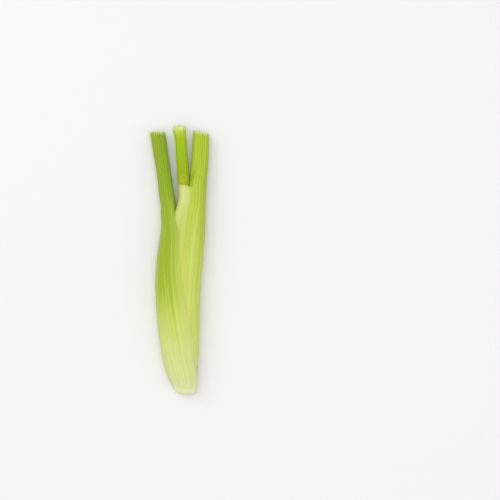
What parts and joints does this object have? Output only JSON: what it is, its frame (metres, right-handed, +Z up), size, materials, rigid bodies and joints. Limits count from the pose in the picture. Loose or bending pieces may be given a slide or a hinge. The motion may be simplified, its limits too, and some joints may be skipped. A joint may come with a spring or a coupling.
{
  "type": "baby fennel",
  "caption": "Slim trimmed baby fennel lying down: ribbed pale green sheaths wrapped into a flattened bulb, a cut cream root end, and round ribbed stalks cut off short.",
  "frame": {"origin": "on the surface that it lies on, under the middle of its outline from above", "axes": "+Y along its length from the cut root end to the stalks, +X across the flattened bulb, +Z up, through the thin way"},
  "size_m": [0.0418, 0.189, 0.022],
  "materials": {
    "root_flesh": "matte",
    "outer_leaf_skin": "satin",
    "second_leaf_skin": "satin",
    "inner_leaf_skin": "satin"
  },
  "bodies": {
    "root": {"root_plate": "root_flesh", "outer_leaf": "outer_leaf_skin", "second_leaf": "second_leaf_skin", "inner_leaf": "inner_leaf_skin"}
  },
  "joints": []
}
